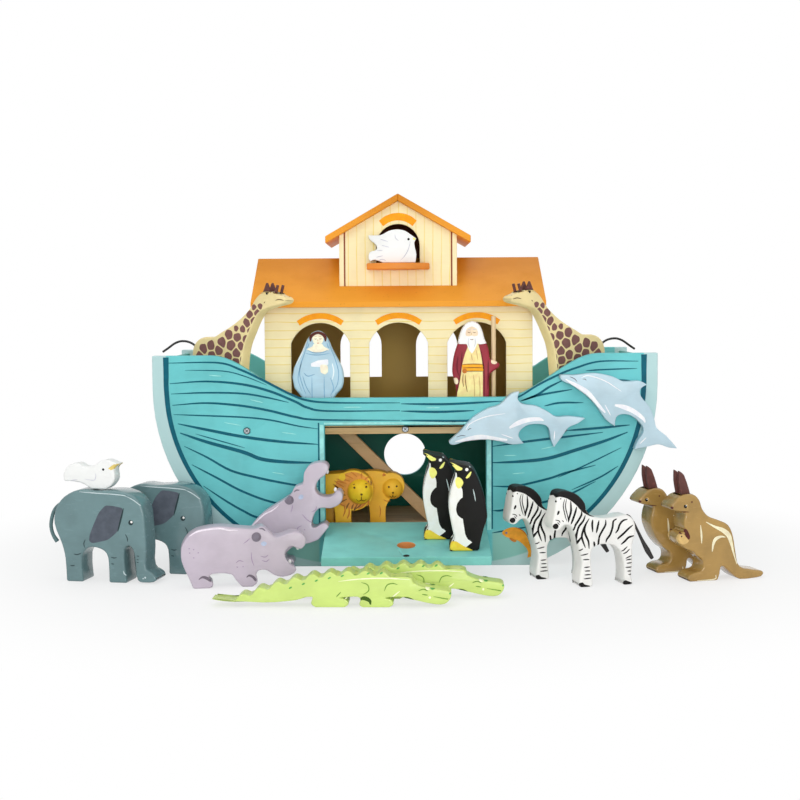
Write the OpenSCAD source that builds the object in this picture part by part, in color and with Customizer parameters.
/* [Hull] */
// Length of the hull over the stems
hull_length = 490; // [460:1:560]
// Depth of the hull over its two side panels
hull_depth = 190; // [180:1:230]
// Thickness of the hull's side panels
panel_thickness = 9; // [8:0.5:11]
// Height of the gunwale at bow and stern
gunwale_height = 207; // [195:1:230]
// Height of the gunwale amidships
waist_height = 165; // [155:1:178]
// Distance from the middle to where the gunwale starts to rise
sheer_start = 96; // [85:1:110]
// Distance from the middle to where the gunwale has risen
sheer_end = 188; // [170:1:210]
// Height of the top of the stem's curve
stem_height = 175; // [165:1:182]
// Distance from the middle to the end of the flat keel
keel_reach = 122; // [105:1:135]
// Thickness of the bent end planks
end_plank = 5; // [4:0.5:6]
// Set back of the end planks from the panel's edge
end_inset = 4; // [2:0.5:8]

/* [Decks] */
// Height of the deck's top
deck_top = 138; // [130:1:146]
// Thickness of the deck and of the hold's floor
deck_thickness = 9; // [7:0.5:11]
// Height of the hold floor's top
floor_top = 33; // [28:1:38]
// Radius of the round light in the back panel
light_radius = 23; // [18:0.5:27]
// Height of the middle of the round light
light_height = 90; // [80:1:98]
// Width of the diagonal brace under the deck
brace_width = 12; // [8:0.5:16]
// Thickness of the diagonal brace
brace_thickness = 8; // [6:0.5:10]
// Distance from the middle to the panel screws
screw_reach = 154; // [130:1:170]
// Radius of a screw head
screw_head_radius = 3.2; // [2.5:0.1:4]
// Radius of a screw shank
screw_shank_radius = 1.6; // [1.2:0.1:2]

/* [Ramp] */
// Width of the doorway
door_width = 157; // [140:1:166]
// Thickness of the ramp
ramp_thickness = 8.5; // [7:0.5:9]
// Slope of the lowered ramp in degrees
ramp_slope = 9.5; // [4:0.5:14]
// Gap between the ramp and the doorway
ramp_gap = 0.8; // [0.5:0.1:1.5]
// Radius of a hinge pin
pin_radius = 1.5; // [1:0.1:2]
// Length of a hinge pin
pin_length = 20; // [14:1:28]
// Running clearance round a hinge pin
pin_clearance = 0.05; // [0.02:0.01:0.1]
// Radius of the finger hole in the ramp
finger_radius = 8.2; // [6:0.1:10]
// Distance from the ramp's free edge to the finger hole
finger_setback = 32; // [24:1:44]
// Radius of the catch magnet
magnet_radius = 2.8; // [2:0.1:3.5]

/* [House] */
// Length of the house
house_length = 264; // [250:1:280]
// Width of the walk between a hull panel and the house
walk_width = 16; // [13:0.5:20]
// Height of the house walls above the deck
wall_height = 120.15; // [112:0.05:130]
// Thickness of the house walls
wall_thickness = 6; // [5:0.5:8]
// Sideways place of the house on the deck
house_shift = -6; // [-10:1:4]
// Width of an arch in the front wall
arch_width = 58; // [48:1:64]
// Rise of an arch above its springing
arch_rise = 20; // [14:1:26]
// Distance between neighbouring arches
arch_pitch = 77; // [72:1:80]
// Height of an arch's crown above the deck
arch_height = 99.5; // [90:0.5:106]
// Width of a window in the back wall
window_width = 44.6; // [36:0.2:52]
// Distance between the two back windows
window_pitch = 82; // [70:1:100]
// Height of a back window's sill above the deck
window_sill = 39; // [30:1:48]
// Height of a back window's crown above the deck
window_height = 96; // [88:1:104]

/* [Roof] */
// Length of the roof
roof_length = 289; // [284:1:310]
// Slope of the roof in degrees
roof_slope = 29.5; // [26:0.5:31]
// Thickness of the roof boards
roof_thickness = 5; // [4:0.5:7]
// Overhang of the eaves beyond the house walls
eave_overhang = 10; // [8:0.5:13]

/* [Dove loft] */
// Width of the loft
loft_width = 117; // [100:1:130]
// Depth of the loft
loft_depth = 106; // [90:1:120]
// Height of the loft's apex above the ridge
loft_rise = 61; // [52:0.5:70]
// Slope of the loft's roof in degrees
loft_slope = 30; // [26:0.5:34]
// Half width of the loft's roof
loft_eave = 72; // [68:1:80]
// Overhang of the loft's roof at front and back
loft_overhang = 7; // [4:1:9]
// Thickness of the loft's roof boards
loft_roof_thickness = 6; // [4:0.5:8]
// Width of the loft's opening
loft_window = 43; // [34:1:50]
// Distance from the loft's apex down to the opening's crown
loft_headroom = 29.5; // [27:0.5:34]
// Drop of the perch's top below the ridge
perch_drop = 7.5; // [5:0.5:10]
// Width of the perch
perch_width = 62; // [50:1:74]
// Depth of the perch
perch_depth = 22; // [18:1:26]
// Thickness of the perch
perch_thickness = 6.5; // [5:0.5:8]

/* [Figures] */
// Thickness of an elephant
elephant_thickness = 26; // [20:1:30]
// Thickness of a hippo
hippo_thickness = 22; // [18:1:26]
// Thickness of a crocodile
crocodile_thickness = 20; // [16:1:24]
// Thickness of a lion
lion_thickness = 18; // [14:1:20]
// Thickness of a penguin
penguin_thickness = 18; // [14:1:22]
// Thickness of a zebra
zebra_thickness = 22; // [18:1:26]
// Thickness of a kangaroo
kangaroo_thickness = 24; // [20:1:28]
// Thickness of a giraffe
giraffe_thickness = 13; // [11:0.5:14]
// Thickness of a dolphin
dolphin_thickness = 13; // [10:1:16]
// Thickness of a dove
dove_thickness = 14; // [10:1:16]
// Thickness of a standing person
person_thickness = 10; // [8:0.5:11]
// Radius of the elder's staff
staff_radius = 2.2; // [1.8:0.1:2.6]
// Radius of a tail cord
tail_radius = 1.2; // [0.9:0.1:1.6]
// Gap between a figure and what it stands on
seat_gap = 0.3; // [0.2:0.1:0.5]

/* [Hidden] */

$fn = 64;
half_length = hull_length / 2;
face_y = hull_depth / 2;
inner_y = face_y - panel_thickness;
slack = 0.02;
past = 1;

// Paint colours
turquoise = "#70c4c6";
sea_green = "#3f9a92";
pine = "#dcb888";
cream = "#fbe9b8";
orange = "#f0983c";
steel = "#9aa0a4";

// The stem's arc leaves the gunwale upright and ends where the panel's flat keel starts
stem_run = half_length - keel_reach;
stem_radius = (stem_run ^ 2 + stem_height ^ 2) / (2 * stem_run);
stem_x = half_length - stem_radius;
keel_angle = asin(stem_height / stem_radius);

// Hinge line of the ramp, at the middle of the panel's thickness
hinge_lift = 1;
hinge_y = -(inner_y + panel_thickness / 2);
hinge_z = floor_top + ramp_thickness / 2 + hinge_lift;
ramp_reach = deck_top - ramp_gap - hinge_z;
ramp_width = door_width - 2 * ramp_gap;
magnet_edge = 1.4;
magnet_reach = ramp_reach - magnet_radius - magnet_edge;
magnet_depth = 2;
screw_height = deck_top - deck_thickness / 2;

// The house stands back from the panels by the walk; roof, loft and perch build up from its walls
house_depth = 2 * (inner_y - walk_width);
wall_top = deck_top + wall_height;
roof_drop = tan(roof_slope);
roof_skin = roof_thickness / cos(roof_slope);
ridge_height = wall_top + roof_skin + house_depth / 2 * roof_drop;
eave_reach = house_depth / 2 + eave_overhang;
loft_drop = tan(loft_slope);
loft_skin = loft_roof_thickness / cos(loft_slope);
loft_apex = ridge_height + loft_rise;
loft_crown = loft_apex - loft_headroom;
perch_top = ridge_height - perch_drop;

// Points along the gunwale's rise, a smooth step from waist to gunwale
function rise(t) = t * t * (3 - 2 * t);
function sheer_line(steps = 14) = [for (i = [0 : steps]) let (t = i / steps)
  [sheer_start + (sheer_end - sheer_start) * t,
   waist_height + (gunwale_height - waist_height) * rise(t)]];
// Points along the stem, from its top round to the keel
function stem_line(inset, steps = 16) = [for (i = [0 : steps]) let (a = keel_angle * i / steps)
  [stem_x + (stem_radius - inset) * cos(a), stem_height - (stem_radius - inset) * sin(a)]];
function half_hull() = concat(sheer_line(), [[half_length, gunwale_height]], stem_line(0));
function mirrored(p) = [for (i = [len(p) - 1 : -1 : 0]) [-p[i][0], p[i][1]]];

// A closed outline drawn smoothly through hand placed points.
// A point with a third value of 1 is a corner.
function unit(v) = norm(v) > 0 ? v / norm(v) : v;
function flat(p) = [p[0], p[1]];
function heading(p, i) = let (m = len(p)) len(p[i]) > 2 ? [0, 0]
  : unit(flat(p[(i + 1) % m]) - flat(p[(i + m - 1) % m]));
function bend(a, b, ta, tb, t) = let (r = norm(b - a))
  (2 * t ^ 3 - 3 * t ^ 2 + 1) * a + (t ^ 3 - 2 * t ^ 2 + t) * r * ta
  + (3 * t ^ 2 - 2 * t ^ 3) * b + (t ^ 3 - t ^ 2) * r * tb;
function smooth(p, steps = 3) = let (m = len(p)) [for (i = [0 : m - 1], k = [0 : steps - 1])
  let (j = (i + 1) % m) bend(flat(p[i]), flat(p[j]), heading(p, i), heading(p, j), k / steps)];

// A figure cut from board: its outline stands up in the XZ plane
module cutout(points, thickness) {
  rotate([90, 0, 0]) linear_extrude(thickness, center = true) polygon(smooth(points));
}

// A tube swept along a list of points, its radius given by a second list
function tube_rings(path, radii, sides) = [for (i = [0 : len(path) - 1])
  let (a = path[max(i - 1, 0)], b = path[min(i + 1, len(path) - 1)],
       d = unit(b - a), n = unit(cross(d, [0, 1, 0])), m = cross(d, n))
  for (k = [0 : sides - 1]) let (w = 360 * k / sides)
    path[i] + radii[i] * (n * cos(w) + m * sin(w))];
// A smooth open line through hand placed points, and a value that follows it
function along(p, i) = unit(p[min(i + 1, len(p) - 1)] - p[max(i - 1, 0)]);
function strand(p, steps = 3) = concat([for (i = [0 : len(p) - 2], k = [0 : steps - 1])
  bend(p[i], p[i + 1], along(p, i), along(p, i + 1), k / steps)], [p[len(p) - 1]]);
function spread(r, steps = 3) = concat([for (i = [0 : len(r) - 2], k = [0 : steps - 1])
  r[i] + (r[i + 1] - r[i]) * k / steps], [r[len(r) - 1]]);
module tube(points, thickness, sides = 8) {
  path = strand(points);
  radii = spread(thickness);
  rings = len(path);
  caps = [[for (k = [0 : sides - 1]) k], [for (k = [sides - 1 : -1 : 0]) (rings - 1) * sides + k]];
  walls = [for (i = [0 : rings - 2], k = [0 : sides - 1]) let (n = (k + 1) % sides)
    [i * sides + k, (i + 1) * sides + k, (i + 1) * sides + n, i * sides + n]];
  polyhedron(tube_rings(path, radii, sides), concat(caps, walls));
}

// An upright board in the XZ plane between two depths
module board(points, y0, y1) {
  translate([0, y1, 0]) rotate([90, 0, 0]) linear_extrude(y1 - y0) polygon(points);
}

// An arched opening: straight sides and a segmental crown
function arch(cx, width, sill, crown, rise_up, steps = 16) = let (
    h = width / 2, r = (h * h + rise_up * rise_up) / (2 * rise_up), a = asin(min(1, h / r)))
  concat([[cx - h, sill], [cx + h, sill]],
    [for (i = [0 : steps]) let (w = a - 2 * a * i / steps)
      [cx + r * sin(w), crown - r + r * cos(w)]]);

screw_head = 1.4;
module screw(length) {
  cylinder(r = screw_head_radius, h = screw_head);
  translate([0, 0, screw_head]) cylinder(r = screw_shank_radius, h = length);
}
module screw_hole(length) {
  translate([0, 0, -past]) cylinder(r = screw_head_radius + slack, h = screw_head + past + slack);
  cylinder(r = screw_shank_radius + slack, h = screw_head + length + slack);
}
screw_grip = panel_thickness + 12;
module at_panel_screws() {
  for (side = [-1, 1], end = [-1, 1])
    translate([end * screw_reach, side * face_y, screw_height]) rotate([side * 90, 0, 0]) children();
}
module at_catch() {
  translate([0, -inner_y, screw_height]) rotate([-90, 0, 0]) children();
}
module at_hinge_pins() {
  for (end = [-1, 1])
    translate([end * door_width / 2, hinge_y, hinge_z]) rotate([0, 90, 0]) children();
}

module hull_panel() {
  linear_extrude(panel_thickness) polygon(concat(half_hull(), mirrored(half_hull())));
}
module hull_front() {
  color(turquoise) difference() {
    translate([0, -inner_y, 0]) rotate([90, 0, 0]) hull_panel();
    translate([-door_width / 2, -face_y - past, floor_top])
      cube([door_width, panel_thickness + 2 * past, deck_top - floor_top]);
    at_panel_screws() screw_hole(screw_grip);
    at_hinge_pins() cylinder(r = pin_radius + slack, h = pin_length + slack, center = true);
  }
}
module hull_back() {
  color(turquoise) difference() {
    translate([0, face_y, 0]) rotate([90, 0, 0]) hull_panel();
    translate([0, face_y + past, light_height]) rotate([90, 0, 0])
      cylinder(r = light_radius, h = panel_thickness + 2 * past);
    at_panel_screws() screw_hole(screw_grip);
  }
}
// Half length of the hull inside its end planks at a height
function inside_reach(z) = let (r = stem_radius - end_inset - end_plank)
  stem_x + (z >= stem_height ? r : sqrt(r * r - (stem_height - z) ^ 2)) - 0.2;
module between_panels(z0, z1, reach) {
  translate([-reach, -inner_y, z0]) cube([2 * reach, 2 * inner_y, z1 - z0]);
}
module hull_floor() {
  color(pine) between_panels(floor_top - deck_thickness, floor_top,
    inside_reach(floor_top - deck_thickness));
}
module deck() {
  color(pine) difference() {
    between_panels(deck_top - deck_thickness, deck_top, inside_reach(deck_top - deck_thickness));
    at_panel_screws() screw_hole(screw_grip);
    at_catch() screw_hole(screw_grip);
  }
}
// One end of the hull: a sheet bent round the stem's curve, straight above it
module end_sheet(side) {
  outer = stem_line(end_inset);
  inner = stem_line(end_inset + end_plank);
  last = len(outer) - 1;
  top = gunwale_height - end_inset;
  profile = concat([[inner[0][0], top], [outer[0][0], top]], [for (i = [0 : last]) outer[i]],
    [for (i = [last : -1 : 0]) inner[i]]);
  intersection() {
    board([for (p = profile) [side * p[0], p[1]]], -inner_y, inner_y);
    translate([-half_length, -face_y, 0]) cube([hull_length, hull_depth, gunwale_height]);
  }
}
module bow_plank() { color(sea_green) end_sheet(-1); }
module stern_plank() { color(sea_green) end_sheet(1); }

brace_foot = 22;
brace_y = -25;
module diagonal_brace() {
  rise_z = deck_top - deck_thickness - floor_top;
  lean = brace_width * sqrt(2);
  color(pine) board([[brace_foot, floor_top], [brace_foot + lean, floor_top],
    [brace_foot + lean - rise_z, floor_top + rise_z], [brace_foot - rise_z, floor_top + rise_z]],
    brace_y, brace_y + brace_thickness);
}
module panel_screws() { color(steel) at_panel_screws() screw(screw_grip); }
module catch_screw() { color(steel) at_catch() screw(screw_grip); }
module hinge_pins() {
  color(steel) at_hinge_pins() cylinder(r = pin_radius, h = pin_length, center = true);
}

// The lowered ramp, turned about its hinge line
module at_ramp() {
  translate([0, hinge_y, hinge_z]) rotate([ramp_slope, 0, 0]) children();
}
module at_magnet() {
  translate([0, -magnet_reach, ramp_thickness / 2 - magnet_depth]) children();
}
module ramp() {
  color(turquoise) at_ramp() difference() {
    union() {
      translate([-ramp_width / 2, -ramp_reach, -ramp_thickness / 2])
        cube([ramp_width, ramp_reach, ramp_thickness]);
      rotate([0, 90, 0]) cylinder(r = ramp_thickness / 2, h = ramp_width, center = true);
    }
    translate([0, finger_setback - ramp_reach, -ramp_thickness])
      cylinder(r = finger_radius, h = 2 * ramp_thickness);
    at_magnet() cylinder(r = magnet_radius + slack, h = magnet_depth + past);
    for (end = [-1, 1]) translate([end * door_width / 2, 0, 0]) rotate([0, 90, 0])
      cylinder(r = pin_radius + pin_clearance, h = pin_length + past, center = true);
  }
}
module ramp_magnet() {
  color(steel) at_ramp() at_magnet() cylinder(r = magnet_radius, h = magnet_depth - 0.1);
}

// The house stands on the deck between the hull panels
module on_deck() { translate([house_shift, 0, 0]) children(); }
module house_wall(y0) {
  board([[-house_length / 2, deck_top], [house_length / 2, deck_top],
    [house_length / 2, wall_top], [-house_length / 2, wall_top]], y0, y0 + wall_thickness);
}
module house_front() {
  color(cream) on_deck() difference() {
    house_wall(-house_depth / 2);
    for (i = [-1 : 1])
      board(arch(i * arch_pitch, arch_width, deck_top - past, deck_top + arch_height, arch_rise),
        -house_depth, 0);
  }
}
module house_back() {
  color(cream) on_deck() difference() {
    house_wall(house_depth / 2 - wall_thickness);
    for (i = [-0.5, 0.5])
      board(arch(i * window_pitch, window_width, deck_top + window_sill, deck_top + window_height,
        window_width / 2), 0, house_depth);
  }
}
// End wall with a gable that follows the underside of the roof
module house_end(side) {
  d = house_depth / 2 - wall_thickness;
  under = ridge_height - roof_skin;
  x0 = side < 0 ? -house_length / 2 : house_length / 2 - wall_thickness;
  on_deck() translate([x0, 0, 0]) rotate([90, 0, 90]) linear_extrude(wall_thickness)
    polygon([[-d, deck_top], [d, deck_top], [d, under - d * roof_drop], [0, under],
      [-d, under - d * roof_drop]]);
}
module house_end_left() { color(cream) house_end(-1); }
module house_end_right() { color(cream) house_end(1); }

module roof_board(side) {
  on_deck() translate([-roof_length / 2, 0, 0]) rotate([90, 0, 90]) linear_extrude(roof_length)
    polygon([[0, ridge_height], [side * eave_reach, ridge_height - eave_reach * roof_drop],
      [side * eave_reach, ridge_height - eave_reach * roof_drop - roof_skin],
      [0, ridge_height - roof_skin]]);
}
module roof_front() { color(orange) roof_board(-1); }
module roof_back() { color(orange) roof_board(1); }

// The loft sits astride the ridge, its walls cut to the slope of the roof
module above_roof() {
  low = ridge_height - loft_depth * roof_drop;
  difference() {
    children();
    on_deck() translate([-roof_length / 2, 0, 0]) rotate([90, 0, 90]) linear_extrude(roof_length)
      polygon([[0, ridge_height], [-loft_depth, low], [-loft_depth, low - loft_depth],
        [loft_depth, low - loft_depth], [loft_depth, low]]);
  }
}
function loft_under(x) = loft_apex - loft_skin - abs(x) * loft_drop;
loft_base = ridge_height - loft_depth / 2 * roof_drop;
module loft_gable(y0) {
  w = loft_width / 2 - wall_thickness;
  board([[-w, loft_base], [w, loft_base], [w, loft_under(w)], [0, loft_under(0)],
    [-w, loft_under(w)]], y0, y0 + wall_thickness);
}
module loft_front() {
  color(cream) above_roof() on_deck() difference() {
    loft_gable(-loft_depth / 2);
    board(arch(0, loft_window, perch_top, loft_crown, loft_window / 2), -loft_depth, 0);
    perch_tongue(slack);
  }
}
module loft_back() { color(cream) above_roof() on_deck() loft_gable(loft_depth / 2 - wall_thickness); }
module loft_side(side) {
  w = loft_width / 2;
  v = w - wall_thickness;
  above_roof() on_deck() board([[side * v, loft_base], [side * w, loft_base],
    [side * w, loft_under(w)], [side * v, loft_under(v)]], -loft_depth / 2, loft_depth / 2);
}
module loft_side_left() { color(cream) loft_side(-1); }
module loft_side_right() { color(cream) loft_side(1); }
module loft_slope_board(side) {
  out = loft_depth / 2 + loft_overhang;
  on_deck() board([[0, loft_apex], [side * loft_eave, loft_apex - loft_eave * loft_drop],
    [side * loft_eave, loft_apex - loft_eave * loft_drop - loft_skin], [0, loft_apex - loft_skin]],
    -out, out);
}
module loft_roof_left() { color(orange) loft_slope_board(-1); }
module loft_roof_right() { color(orange) loft_slope_board(1); }

// The perch is a board with rounded corners whose tongue fills the foot of the loft's opening
module perch_tongue(play) {
  translate([-loft_window / 2 - play, -loft_depth / 2, perch_top - perch_thickness - play])
    cube([loft_window + 2 * play, wall_thickness, perch_thickness + play]);
}
module perch() {
  r = perch_depth / 2;
  color(orange) on_deck() translate([0, -loft_depth / 2, perch_top - perch_thickness]) {
    linear_extrude(perch_thickness) polygon(smooth([[-perch_width / 2, 0, 1],
      [-perch_width / 2, -r, 1], [-perch_width / 4, -perch_depth], [perch_width / 4, -perch_depth],
      [perch_width / 2, -r, 1], [perch_width / 2, 0, 1]]));
    translate([-loft_window / 2, 0, 0]) cube([loft_window, wall_thickness, perch_thickness]);
  }
}

// Outlines of the figures, each facing right with its feet on the axis
elephant_outline = [[-40, 0, 1], [-41, 22], [-44, 35], [-51, 54], [-49, 68], [-41, 79], [-26, 86],
  [-10, 85], [7, 86], [18, 85], [29, 80], [36, 70], [38, 54], [39, 32], [39, 14], [47, 8], [48, 3],
  [38, 1], [30, 3], [28, 20], [26, 31], [21, 35], [18, 30], [18, 16], [20, 0, 1], [2, 0, 1],
  [2, 15], [0, 27], [-8, 32], [-18, 32], [-24, 24], [-23, 0, 1]];
hippo_heel = 27;
hippo_back = [[-11, 0, 1], [-hippo_heel, 0, 1], [-31, 10], [-37, 25], [-37, 38], [-30, 49], [-19, 54],
  [-2, 56], [16, 54], [29, 53]];
hippo_belly = [[11, 7], [7, 12], [-10, 13], [-13, 9], [-9, 4]];
hippo_outline = concat(hippo_back, [[36, 55], [43, 49], [48, 45], [56, 47], [65, 49], [74, 45],
  [75, 38], [70, 33], [61, 36], [56, 29], [60, 20], [66, 16], [64, 11], [54, 8], [46, 10], [38, 15],
  [30, 13], [31, 4], [26, 0, 1], [17, 0, 1]], hippo_belly);
hippo_yawn_outline = concat(hippo_back, [[36, 56], [44, 54], [52, 61], [61, 63], [72, 57], [73, 50],
  [66, 47], [58, 47], [50, 42], [50, 34], [58, 27], [66, 28], [67, 22], [60, 17], [50, 19], [41, 26],
  [30, 22], [25, 15], [36, 12], [37.4, 6.3, 1], [22.3, 3.2, 1]], hippo_belly);
spike_count = 9;
spike_height = 4;
// The crocodile's back: a row of spikes on a line that bends from tail to head
function croc_back(u) = 27.5 - 0.0021 * (u - 22) ^ 2;
crocodile_spikes = [for (i = [0 : spike_count - 1]) let (u = 50 - 15 * i)
  each [[u, croc_back(u), 1], [u - 6, croc_back(u - 6) + spike_height], [u - 12, croc_back(u - 12), 1]]];
crocodile_outline = concat([[-102, 7], [-58, 4], [-30, 6], [-16, 9], [-17, 3], [-13, 0, 1],
  [11, 0, 1], [15, 3], [12, 7], [8, 8], [22, 9], [25, 7], [24, 2], [27, 0, 1], [49, 0, 1], [53, 3],
  [50, 7], [46, 8], [58, 9], [68, 7], [86, 3], [96, 3], [101, 8], [101, 13], [93, 15], [80, 17],
  [70, 21], [68, 25], [60, 26]], crocodile_spikes);
lion_outline = [[8, 0, 1], [-8, 0, 1], [-9, 20], [-15, 26], [-38, 27], [-43, 20], [-44, 0, 1],
  [-58, 0, 1], [-59, 16], [-64, 32], [-62, 46], [-50, 53], [-20, 54], [-4, 55], [8, 53], [16, 46],
  [17, 36], [12, 26], [8, 18]];
penguin_outline = [[12, 1], [12, 0, 1], [-15, 0, 1], [-16, 7], [-19, 21], [-22, 32], [-21, 43],
  [-18, 57], [-14, 68], [-10, 76], [-5, 80.5], [2, 82], [14, 84, 1], [8, 78], [7, 72], [9, 66],
  [12, 54], [13, 42], [11, 28], [9, 18], [8, 12], [11, 7]];
zebra_outline = [[18, 0, 1], [19, 8], [17, 23], [21, 40], [24, 51], [29, 57], [34, 57], [39, 53],
  [44, 54], [45, 59], [43, 70], [41, 81], [38, 87], [30, 87.5], [21, 84], [14, 76], [12, 68], [3, 63],
  [-11, 62], [-26, 64], [-33, 59], [-35, 48], [-32, 37], [-32, 22], [-31, 8], [-33, 0, 1],
  [-23, 0, 1], [-24, 11], [-22, 27], [-17, 35], [-9, 38], [4, 37], [8, 30], [7, 12], [6, 0, 1]];
kangaroo_front = [[18, 0, 1], [20, 4], [14, 8], [6, 10], [5, 19], [11, 24]];
kangaroo_rest = [[24, 58], [23, 64], [31, 66], [37, 69], [33, 75], [26, 80], [15, 80.5], [9, 75],
  [6, 67], [0, 60], [-10, 56], [-20, 51], [-25, 41], [-28, 25], [-32, 12], [-46, 8], [-57, 4],
  [-44, 0], [-32, 0], [-21, 8], [-14, 13], [-12, 6], [-10, 0, 1]];
kangaroo_outline = concat(kangaroo_front, [[18, 32], [23, 42], [25, 50]], kangaroo_rest);
mother_outline = concat(kangaroo_front, [[15, 28], [22, 31], [28, 36], [30, 41], [27, 46], [23, 47],
  [24, 52]], kangaroo_rest);
giraffe_outline = [[-38.5, 0, 1], [-39.5, 40], [-40.5, 66], [-38.5, 76], [-32, 83], [-22, 86], [-11, 86],
  [0, 91], [11, 96], [22, 102], [32, 109], [39.5, 116], [45, 123], [51.5, 128], [59.5, 130], [68.5, 129],
  [77, 126], [84, 123], [83, 119], [73, 116.5], [61.5, 114], [50.5, 110], [43, 101], [36.5, 90],
  [29.5, 76], [26.5, 60], [24, 30], [24, 0, 1], [11, 0, 1], [9, 34], [-2, 42], [-17.5, 42], [-25.5, 34],
  [-26.5, 0, 1]];
dolphin_outline = [[-66, -18], [-63, -14], [-56, -8], [-43, 6], [-28, 15], [-17, 18.5], [-6, 29],
  [2, 31, 1], [0, 24], [5, 19], [18, 17], [30, 11], [37, 6.5], [49, 7], [65, 5, 1], [58, 0],
  [49, -4], [43, -12], [35, -23, 1], [32, -15], [30, -5], [25, -1], [11, -1], [3, -6], [1, -12],
  [6, -19, 1], [-5, -20], [-15, -17.5], [-28, -15], [-50, -16.5], [-61, -20]];
dove_outline = [[-7, 0, 1], [-18, 6], [-34, 7, 1], [-34, 15], [-29, 22], [-20, 24], [-14, 21], [-4, 22],
  [2, 26], [9, 27.5], [15, 25.5], [20, 23.5, 1], [16, 20], [16.5, 10], [12, 3], [7, 0, 1]];
perched_dove_outline = [[-12, 0, 1], [-20, 3], [-25, 2], [-25, 10], [-18, 13], [-19, 18], [-25, 23],
  [-26, 27, 1], [-14, 27], [-6, 31], [2, 32.5], [10, 31], [16, 27], [21, 23.5, 1], [19, 19],
  [21, 8], [20, 0, 1]];
// The people are plain standing shapes: a hood or hair, shoulders and a robe
elder_outline = [[-13.5, 0, 1], [-13.5, 30], [-15.5, 42], [-17.5, 50], [-17, 60], [-15, 70], [-12, 79],
  [-9, 90], [-4.5, 97], [2, 100], [8, 97.5], [11.5, 91], [14, 82], [17, 76], [18.5, 69], [19.5, 63],
  [24, 61], [29, 57.5], [25, 53], [19, 48], [18.5, 34], [17, 0, 1]];
veil_right = [[13, 0, 1], [13.5, 14], [16.3, 27], [23.5, 36], [25.2, 46.5], [23.6, 55.6], [19.3, 64.6],
  [14.5, 73.7], [10.6, 82.8], [6, 89.5]];
veil_outline = concat([for (p = veil_right) [-p[0], p[1], p[2]]], [[0, 92]],
  [for (i = [len(veil_right) - 1:-1:0]) veil_right[i]]);

// Places a figure: x, y and z of its feet, its turn about the upright and whether it faces left
module stand(place, turn, left = false, tilt = 0) {
  translate(place) rotate([0, 0, turn]) mirror([left ? 1 : 0, 0, 0]) rotate([0, -tilt, 0]) children();
}

// Places of the figures on the ground, by their distance in front of the ark
elephant_a_at = [-275, -face_y - 60, 0];
elephant_b_at = [-226, -face_y - 21, 0];
elephant_turn = -11;
hippo_a_at = [-167.5, -face_y - 89, 0];
hippo_turn = 9;
// The second hippo climbs: its heel on the ground, its fore foot on the ramp's edge
hippo_tilt = 39;
hippo_step = 20.3;
hippo_b_at = [-ramp_width / 2 - hippo_step, -face_y - 29, hippo_heel * sin(hippo_tilt)];
crocodile_a_at = [-64, -face_y - 173, 0];
crocodile_b_at = [-17, -face_y - 141, 0];
crocodile_turn = -2;
zebra_a_at = [136, -face_y - 58, 0];
zebra_b_at = [171.5, -face_y - 94, 0];
zebra_turn = 14;
kangaroo_a_at = [252, -face_y - 30, 0];
kangaroo_b_at = [274, -face_y - 71, 0];
kangaroo_turn = 14;

ivory = "#f4f2ec";
module elephant_tail(at) {
  path = [[-44, 0, 72], [-50, 0, 71], [-56, 0, 65], [-59, 0, 57], [-60, 0, 49], [-58, 0, 41], [-54, 0, 35]];
  color("#5f7d7f") stand(at, elephant_turn)
    tube(path, [1.2, 1.3, 1.5, 1.6, 1.5, 1.5, 1.9] * tail_radius);
}
module elephant(at) {
  color("#7a9697") stand(at, elephant_turn) cutout(elephant_outline, elephant_thickness);
}
module elephant_a() { elephant(elephant_a_at); }
module elephant_a_tail() { elephant_tail(elephant_a_at); }
module elephant_b() { elephant(elephant_b_at); }
module elephant_b_tail() { elephant_tail(elephant_b_at); }

module hippo_a() { color("#cbbfcb") stand(hippo_a_at, hippo_turn) cutout(hippo_outline, hippo_thickness); }
module hippo_b() {
  color("#cbbfcb") stand(hippo_b_at, 0, false, hippo_tilt) cutout(hippo_yawn_outline, hippo_thickness);
}
module crocodile_a() {
  color("#cbe07e") stand(crocodile_a_at, crocodile_turn) cutout(crocodile_outline, crocodile_thickness);
}
module crocodile_b() {
  color("#cbe07e") stand(crocodile_b_at, crocodile_turn) cutout(crocodile_outline, crocodile_thickness);
}

// Lions on the hold's floor, their heads carved round and turned to the door
lion_at = [-62, 24 - inner_y, floor_top + seat_gap];
lioness_at = [-28, 44 - inner_y, floor_top + seat_gap];
module big_cat(at, head, mane_radius, face, face_radius) {
  stand(at, 0) {
    cutout(lion_outline, lion_thickness);
    translate([head[0], 0, head[1]]) rotate([90, 0, 0])
      cylinder(r = mane_radius, h = lion_thickness, center = true);
    intersection() {
      translate([face[0], 4 - lion_thickness / 2, face[1]]) sphere(r = face_radius);
      translate([-60, -lion_thickness, 0]) cube([120, lion_thickness, 100]);
    }
  }
}
module lion() { color("#e0a52c") big_cat(lion_at, [10, 38], 20, [17, 37], 13); }
module lioness() { color("#d8a83a") big_cat(lioness_at, [14, 40], 13, [15, 37], 11); }

// Penguins stand square on the sloping top of the ramp
penguin_a_at = [29, -44];
penguin_b_at = [52, -76];
module penguin(at) {
  color("#23211f") at_ramp() stand([at[0], at[1], ramp_thickness / 2 + seat_gap], 0, true)
    cutout(penguin_outline, penguin_thickness);
}
module penguin_a() { penguin(penguin_a_at); }
module penguin_b() { penguin(penguin_b_at); }

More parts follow.
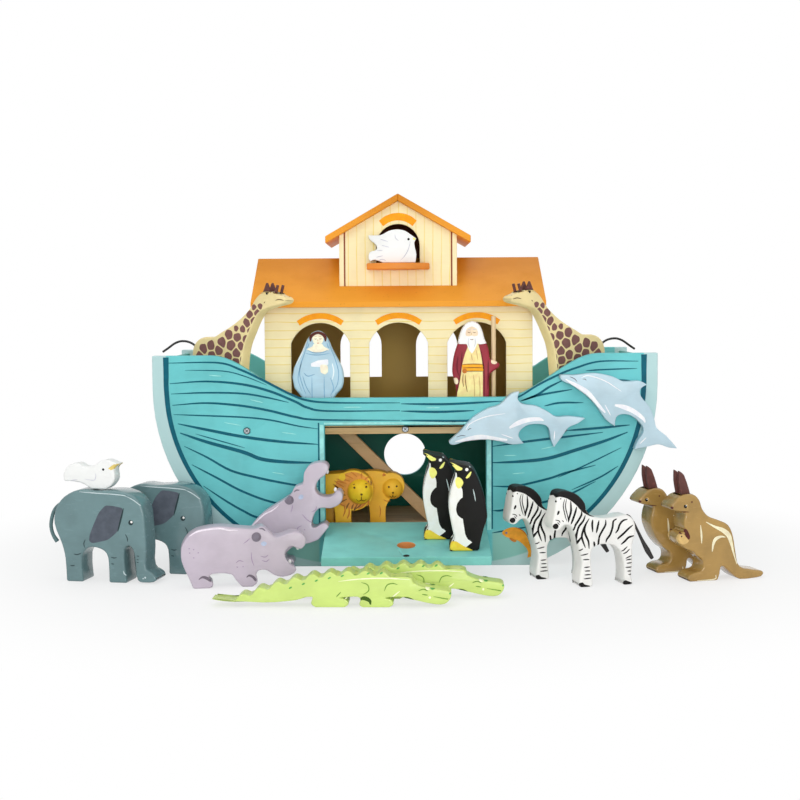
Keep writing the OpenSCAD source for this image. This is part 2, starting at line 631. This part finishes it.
// Tails are stiff strips of leather, their roots glued into the body
module zebra_tail(at) {
  path = [[-26, 0, 59], [-31, 0, 62], [-36, 0, 57], [-41, 0, 48], [-46, 0, 38], [-51, 0, 29], [-56, 0, 21]];
  color("#1d1c1b") stand(at, zebra_turn, true)
    tube(path, [1, 1, 1, 1.1, 1.4, 2.2, 1.5] * tail_radius);
}
module zebra(at) {
  color(ivory) stand(at, zebra_turn, true) cutout(zebra_outline, zebra_thickness);
}
module zebra_a() { zebra(zebra_a_at); }
module zebra_a_tail() { zebra_tail(zebra_a_at); }
module zebra_b() { zebra(zebra_b_at); }
module zebra_b_tail() { zebra_tail(zebra_b_at); }

// Leather ears stand in a slot each, cut into the top of the head
ear_thickness = 3;
ear_depth = 3;
module at_ears(spacing) {
  for (side = [-1, 1]) translate([0, side * spacing / 2, 0]) children();
}
module ear_slot(u, width, v) {
  translate([u - slack, -ear_thickness / 2 - slack, v - slack])
    cube([width + 2 * slack, ear_thickness + 2 * slack, 4 * ear_depth]);
}
kangaroo_ear = [16, 78];
kangaroo_ear_width = 9;
kangaroo_ear_spacing = kangaroo_thickness * 0.4;
module kangaroo_ears(at) {
  u = kangaroo_ear[0];
  v = kangaroo_ear[1];
  w = kangaroo_ear_width;
  color("#5a2f2a") stand(at, kangaroo_turn, true) at_ears(kangaroo_ear_spacing)
    cutout([[u, v, 1], [u + w, v, 1], [u + w, v + ear_depth, 1], [u + w + 2, v + 14],
      [u + w + 2, v + 24, 1], [u + 6, v + 20], [u, v + ear_depth, 1]], ear_thickness);
}
module kangaroo(at, outline) {
  color("#b08c50") stand(at, kangaroo_turn, true) difference() {
    cutout(outline, kangaroo_thickness);
    at_ears(kangaroo_ear_spacing) ear_slot(kangaroo_ear[0], kangaroo_ear_width, kangaroo_ear[1]);
  }
}
module kangaroo_a() { kangaroo(kangaroo_a_at, kangaroo_outline); }
module kangaroo_a_ears() { kangaroo_ears(kangaroo_a_at); }
module kangaroo_b() { kangaroo(kangaroo_b_at, mother_outline); }
module kangaroo_b_ears() { kangaroo_ears(kangaroo_b_at); }

// Giraffes stand on the deck outside the ends of the house, turned towards the front
giraffe_turn = 36;
giraffe_reach = house_length / 2 + 39;
giraffe_y = -inner_y + 21;
giraffe_ear = [54.5, 126.5];
giraffe_ear_width = 9;
giraffe_ear_spacing = giraffe_thickness * 0.6;
horn_at = [69, 0, 125.5];
horn_lean = 18;
horn_radius = 1.4;
horn_length = 11;
module giraffe_place(side) {
  at = [house_shift + side * giraffe_reach, giraffe_y, deck_top + seat_gap];
  stand(at, side * giraffe_turn, side > 0) children();
}
module horn(play) {
  at_ears(giraffe_ear_spacing) translate(horn_at) rotate([0, horn_lean, 0])
    translate([0, 0, -play]) cylinder(r = horn_radius + play, h = horn_length + 2 * play);
}
module giraffe(side) {
  color("#f0dc9c") giraffe_place(side) difference() {
    cutout(giraffe_outline, giraffe_thickness);
    at_ears(giraffe_ear_spacing) ear_slot(giraffe_ear[0], giraffe_ear_width, giraffe_ear[1]);
    horn(slack);
  }
}
module giraffe_ears(side) {
  u = giraffe_ear[0];
  v = giraffe_ear[1];
  w = giraffe_ear_width;
  color("#3a2420") giraffe_place(side) {
    at_ears(giraffe_ear_spacing) cutout([[u, v, 1], [u + w, v, 1], [u + w, v + ear_depth, 1],
      [u + w / 2, v + 12, 1], [u, v + ear_depth, 1]], ear_thickness);
    horn(0);
  }
}
// The tail swings up from the rump and clears the plank at the hull's end
giraffe_tail_crest = gunwale_height - deck_top + 12;
module giraffe_tail(side) {
  crest = giraffe_tail_crest;
  path = [[-34, 0, 70], [-39.5, 0, 75], [-46, 0, crest - 2], [-54, 0, crest], [-63, 0, crest],
    [-71.5, 0, crest - 2.5], [-80, 0, crest - 7], [-88, 0, crest - 11]];
  color("#3c3836") giraffe_place(side) tube(path, [1, 1, 1, 1, 1, 1, 1, 1] * tail_radius);
}
module giraffe_a() { giraffe(-1); }
module giraffe_a_ears() { giraffe_ears(-1); }
module giraffe_a_tail() { giraffe_tail(-1); }
module giraffe_b() { giraffe(1); }
module giraffe_b_ears() { giraffe_ears(1); }
module giraffe_b_tail() { giraffe_tail(1); }

// Dolphins hang flat against the front of the hull
dolphin_y = -face_y - dolphin_thickness / 2 - seat_gap;
dolphin_a_at = [108, dolphin_y, 140];
dolphin_b_at = [210, dolphin_y, 155];
dolphin_dive = 42;
module dolphin(at, dive) {
  color("#bcd6de") stand(at, 0, false, -dive) cutout(dolphin_outline, dolphin_thickness);
}
module dolphin_a() { dolphin(dolphin_a_at, 0); }
module dolphin_b() { dolphin(dolphin_b_at, dolphin_dive); }

elephant_back = 85.8;
module dove_a() {
  color(ivory) stand(elephant_a_at + [-9, 2, elephant_back + seat_gap], elephant_turn)
    cutout(dove_outline, dove_thickness);
}
dove_b_y = -loft_depth / 2 - dove_thickness / 2 - 4 * seat_gap;
module dove_b() {
  color(ivory) stand([house_shift - 3, dove_b_y, perch_top + seat_gap], 0)
    cutout(perched_dove_outline, dove_thickness);
}

// The people stand on the deck between the hull's front panel and the house
person_y = -(inner_y + house_depth / 2) / 2;
elder_at = [house_shift + arch_pitch - 7, person_y, deck_top + seat_gap];
staff_reach = 23;
staff_length = 105;
module elder() {
  color("#9c2f3d") stand(elder_at, 0) difference() {
    cutout(elder_outline, person_thickness);
    translate([staff_reach, 0, -past]) cylinder(r = staff_radius + slack, h = staff_length);
  }
}
module elder_staff() {
  color("#e3c9a0") stand(elder_at, 0) translate([staff_reach, 0, 0])
    cylinder(r = staff_radius, h = staff_length);
}
module veiled_figure() {
  color("#b5d5e6") stand([house_shift - arch_pitch - 2, person_y, deck_top + seat_gap], 0)
    cutout(veil_outline, person_thickness);
}

hull_front();
hull_back();
hull_floor();
deck();
bow_plank();
stern_plank();
diagonal_brace();
panel_screws();
catch_screw();
hinge_pins();
ramp();
ramp_magnet();
house_front();
house_back();
house_end_left();
house_end_right();
roof_front();
roof_back();
loft_front();
loft_back();
loft_side_left();
loft_side_right();
loft_roof_left();
loft_roof_right();
perch();
elephant_a();
elephant_a_tail();
elephant_b();
elephant_b_tail();
hippo_a();
hippo_b();
crocodile_a();
crocodile_b();
lion();
lioness();
penguin_a();
penguin_b();
zebra_a();
zebra_a_tail();
zebra_b();
zebra_b_tail();
kangaroo_a();
kangaroo_a_ears();
kangaroo_b();
kangaroo_b_ears();
giraffe_a();
giraffe_a_ears();
giraffe_a_tail();
giraffe_b();
giraffe_b_ears();
giraffe_b_tail();
dolphin_a();
dolphin_b();
dove_a();
dove_b();
elder();
elder_staff();
veiled_figure();
